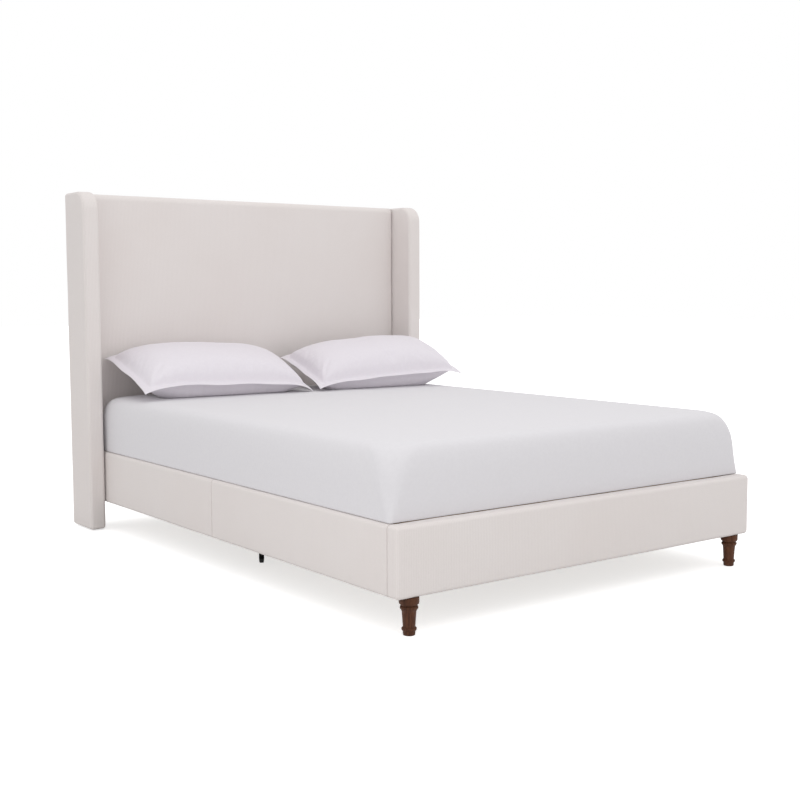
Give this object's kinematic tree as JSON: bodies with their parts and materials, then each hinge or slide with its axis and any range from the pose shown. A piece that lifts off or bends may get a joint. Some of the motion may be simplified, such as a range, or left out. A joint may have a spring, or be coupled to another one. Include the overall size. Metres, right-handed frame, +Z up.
{
  "type": "upholstered bed",
  "caption": "Upholstered wing-back bed in ribbed fabric on turned wooden legs, with slats and a centre support, made up with a mattress and pillows in flanged shams.",
  "frame": {"origin": "on the floor, under the middle of the bed's bounding box", "axes": "+X across the bed to the right seen from the foot, +Y from the foot to the headboard, +Z up"},
  "size_m": [1.696, 2.176, 1.372],
  "materials": {
    "ribbed_fabric": "matte",
    "cotton_sheet": "matte",
    "cotton_sham": "matte",
    "mattress_foam": "matte",
    "pillow_filling": "matte",
    "upholstery_foam": "matte",
    "dust_cloth": "matte",
    "webbing": "matte",
    "walnut_stained_wood": "satin",
    "pine": "matte",
    "plywood": "matte",
    "black_steel": "satin",
    "zinc_steel": "satin",
    "nylon": "matte",
    "black_plastic": "matte"
  },
  "bodies": {
    "bed_frame": {"beam_hangers": "black_steel", "centre_support_leg": "black_steel", "corner_blocks": "pine", "corner_brackets": "black_steel", "cross_beam": "pine", "footboard_core": "pine", "footboard_cover": "ribbed_fabric", "footboard_foam": "upholstery_foam", "frame_bolts": "zinc_steel", "front_centre_beam": "pine", "front_slats": "pine", "headboard_back_cloth": "dust_cloth", "headboard_bolts": "zinc_steel", "headboard_bottom_rail": "pine", "headboard_cover": "ribbed_fabric", "headboard_foam": "upholstery_foam", "headboard_left_stile": "pine", "headboard_middle_rail": "pine", "headboard_panel": "plywood", "headboard_right_stile": "pine", "headboard_top_rail": "pine", "joint_plates": "black_steel", "left_front_cleat": "pine", "left_front_leg": "walnut_stained_wood", "left_front_rail_board": "pine", "left_front_rail_cover": "ribbed_fabric", "left_rear_cleat": "pine", "left_rear_rail_board": "pine", "left_rear_rail_cover": "ribbed_fabric", "left_support_leg": "black_steel", "left_wing_core": "pine", "left_wing_cover": "ribbed_fabric", "left_wing_foam": "upholstery_foam", "leg_bolts": "zinc_steel", "rear_centre_beam": "pine", "rear_slats": "pine", "right_front_cleat": "pine", "right_front_leg": "walnut_stained_wood", "right_front_rail_board": "pine", "right_front_rail_cover": "ribbed_fabric", "right_rear_cleat": "pine", "right_rear_rail_board": "pine", "right_rear_rail_cover": "ribbed_fabric", "right_support_leg": "black_steel", "right_wing_core": "pine", "right_wing_cover": "ribbed_fabric", "right_wing_foam": "upholstery_foam", "slat_screws": "zinc_steel", "slat_straps": "webbing", "wing_bolts": "zinc_steel", "wing_glides": "nylon"},
    "made_up_mattress": {"mattress": "mattress_foam", "fitted_sheet": "cotton_sheet"},
    "left_pillow_in_sham": {"left_pillow": "pillow_filling", "left_sham": "cotton_sham"},
    "right_pillow_in_sham": {"right_pillow": "pillow_filling", "right_sham": "cotton_sham"},
    "left_foot": {"left_levelling_foot": "black_plastic"},
    "centre_foot": {"centre_levelling_foot": "black_plastic"},
    "right_foot": {"right_levelling_foot": "black_plastic"}
  },
  "joints": [
    {"name": "mattress_lift", "type": "slide", "parent": "bed_frame", "child": "made_up_mattress", "axis": [0, 0, 1], "range_m": [0, 0.3]},
    {"name": "left_pillow_lift", "type": "slide", "parent": "made_up_mattress", "child": "left_pillow_in_sham", "axis": [0, 0, 1], "range_m": [0, 0.3]},
    {"name": "right_pillow_lift", "type": "slide", "parent": "made_up_mattress", "child": "right_pillow_in_sham", "axis": [0, 0, 1], "range_m": [0, 0.3]},
    {"name": "left_foot_screw", "type": "slide", "parent": "bed_frame", "child": "left_foot", "axis": [0, 0, -1], "range_m": [0, 0.012]},
    {"name": "centre_foot_screw", "type": "slide", "parent": "bed_frame", "child": "centre_foot", "axis": [0, 0, -1], "range_m": [0, 0.012]},
    {"name": "right_foot_screw", "type": "slide", "parent": "bed_frame", "child": "right_foot", "axis": [0, 0, -1], "range_m": [0, 0.012]}
  ]
}
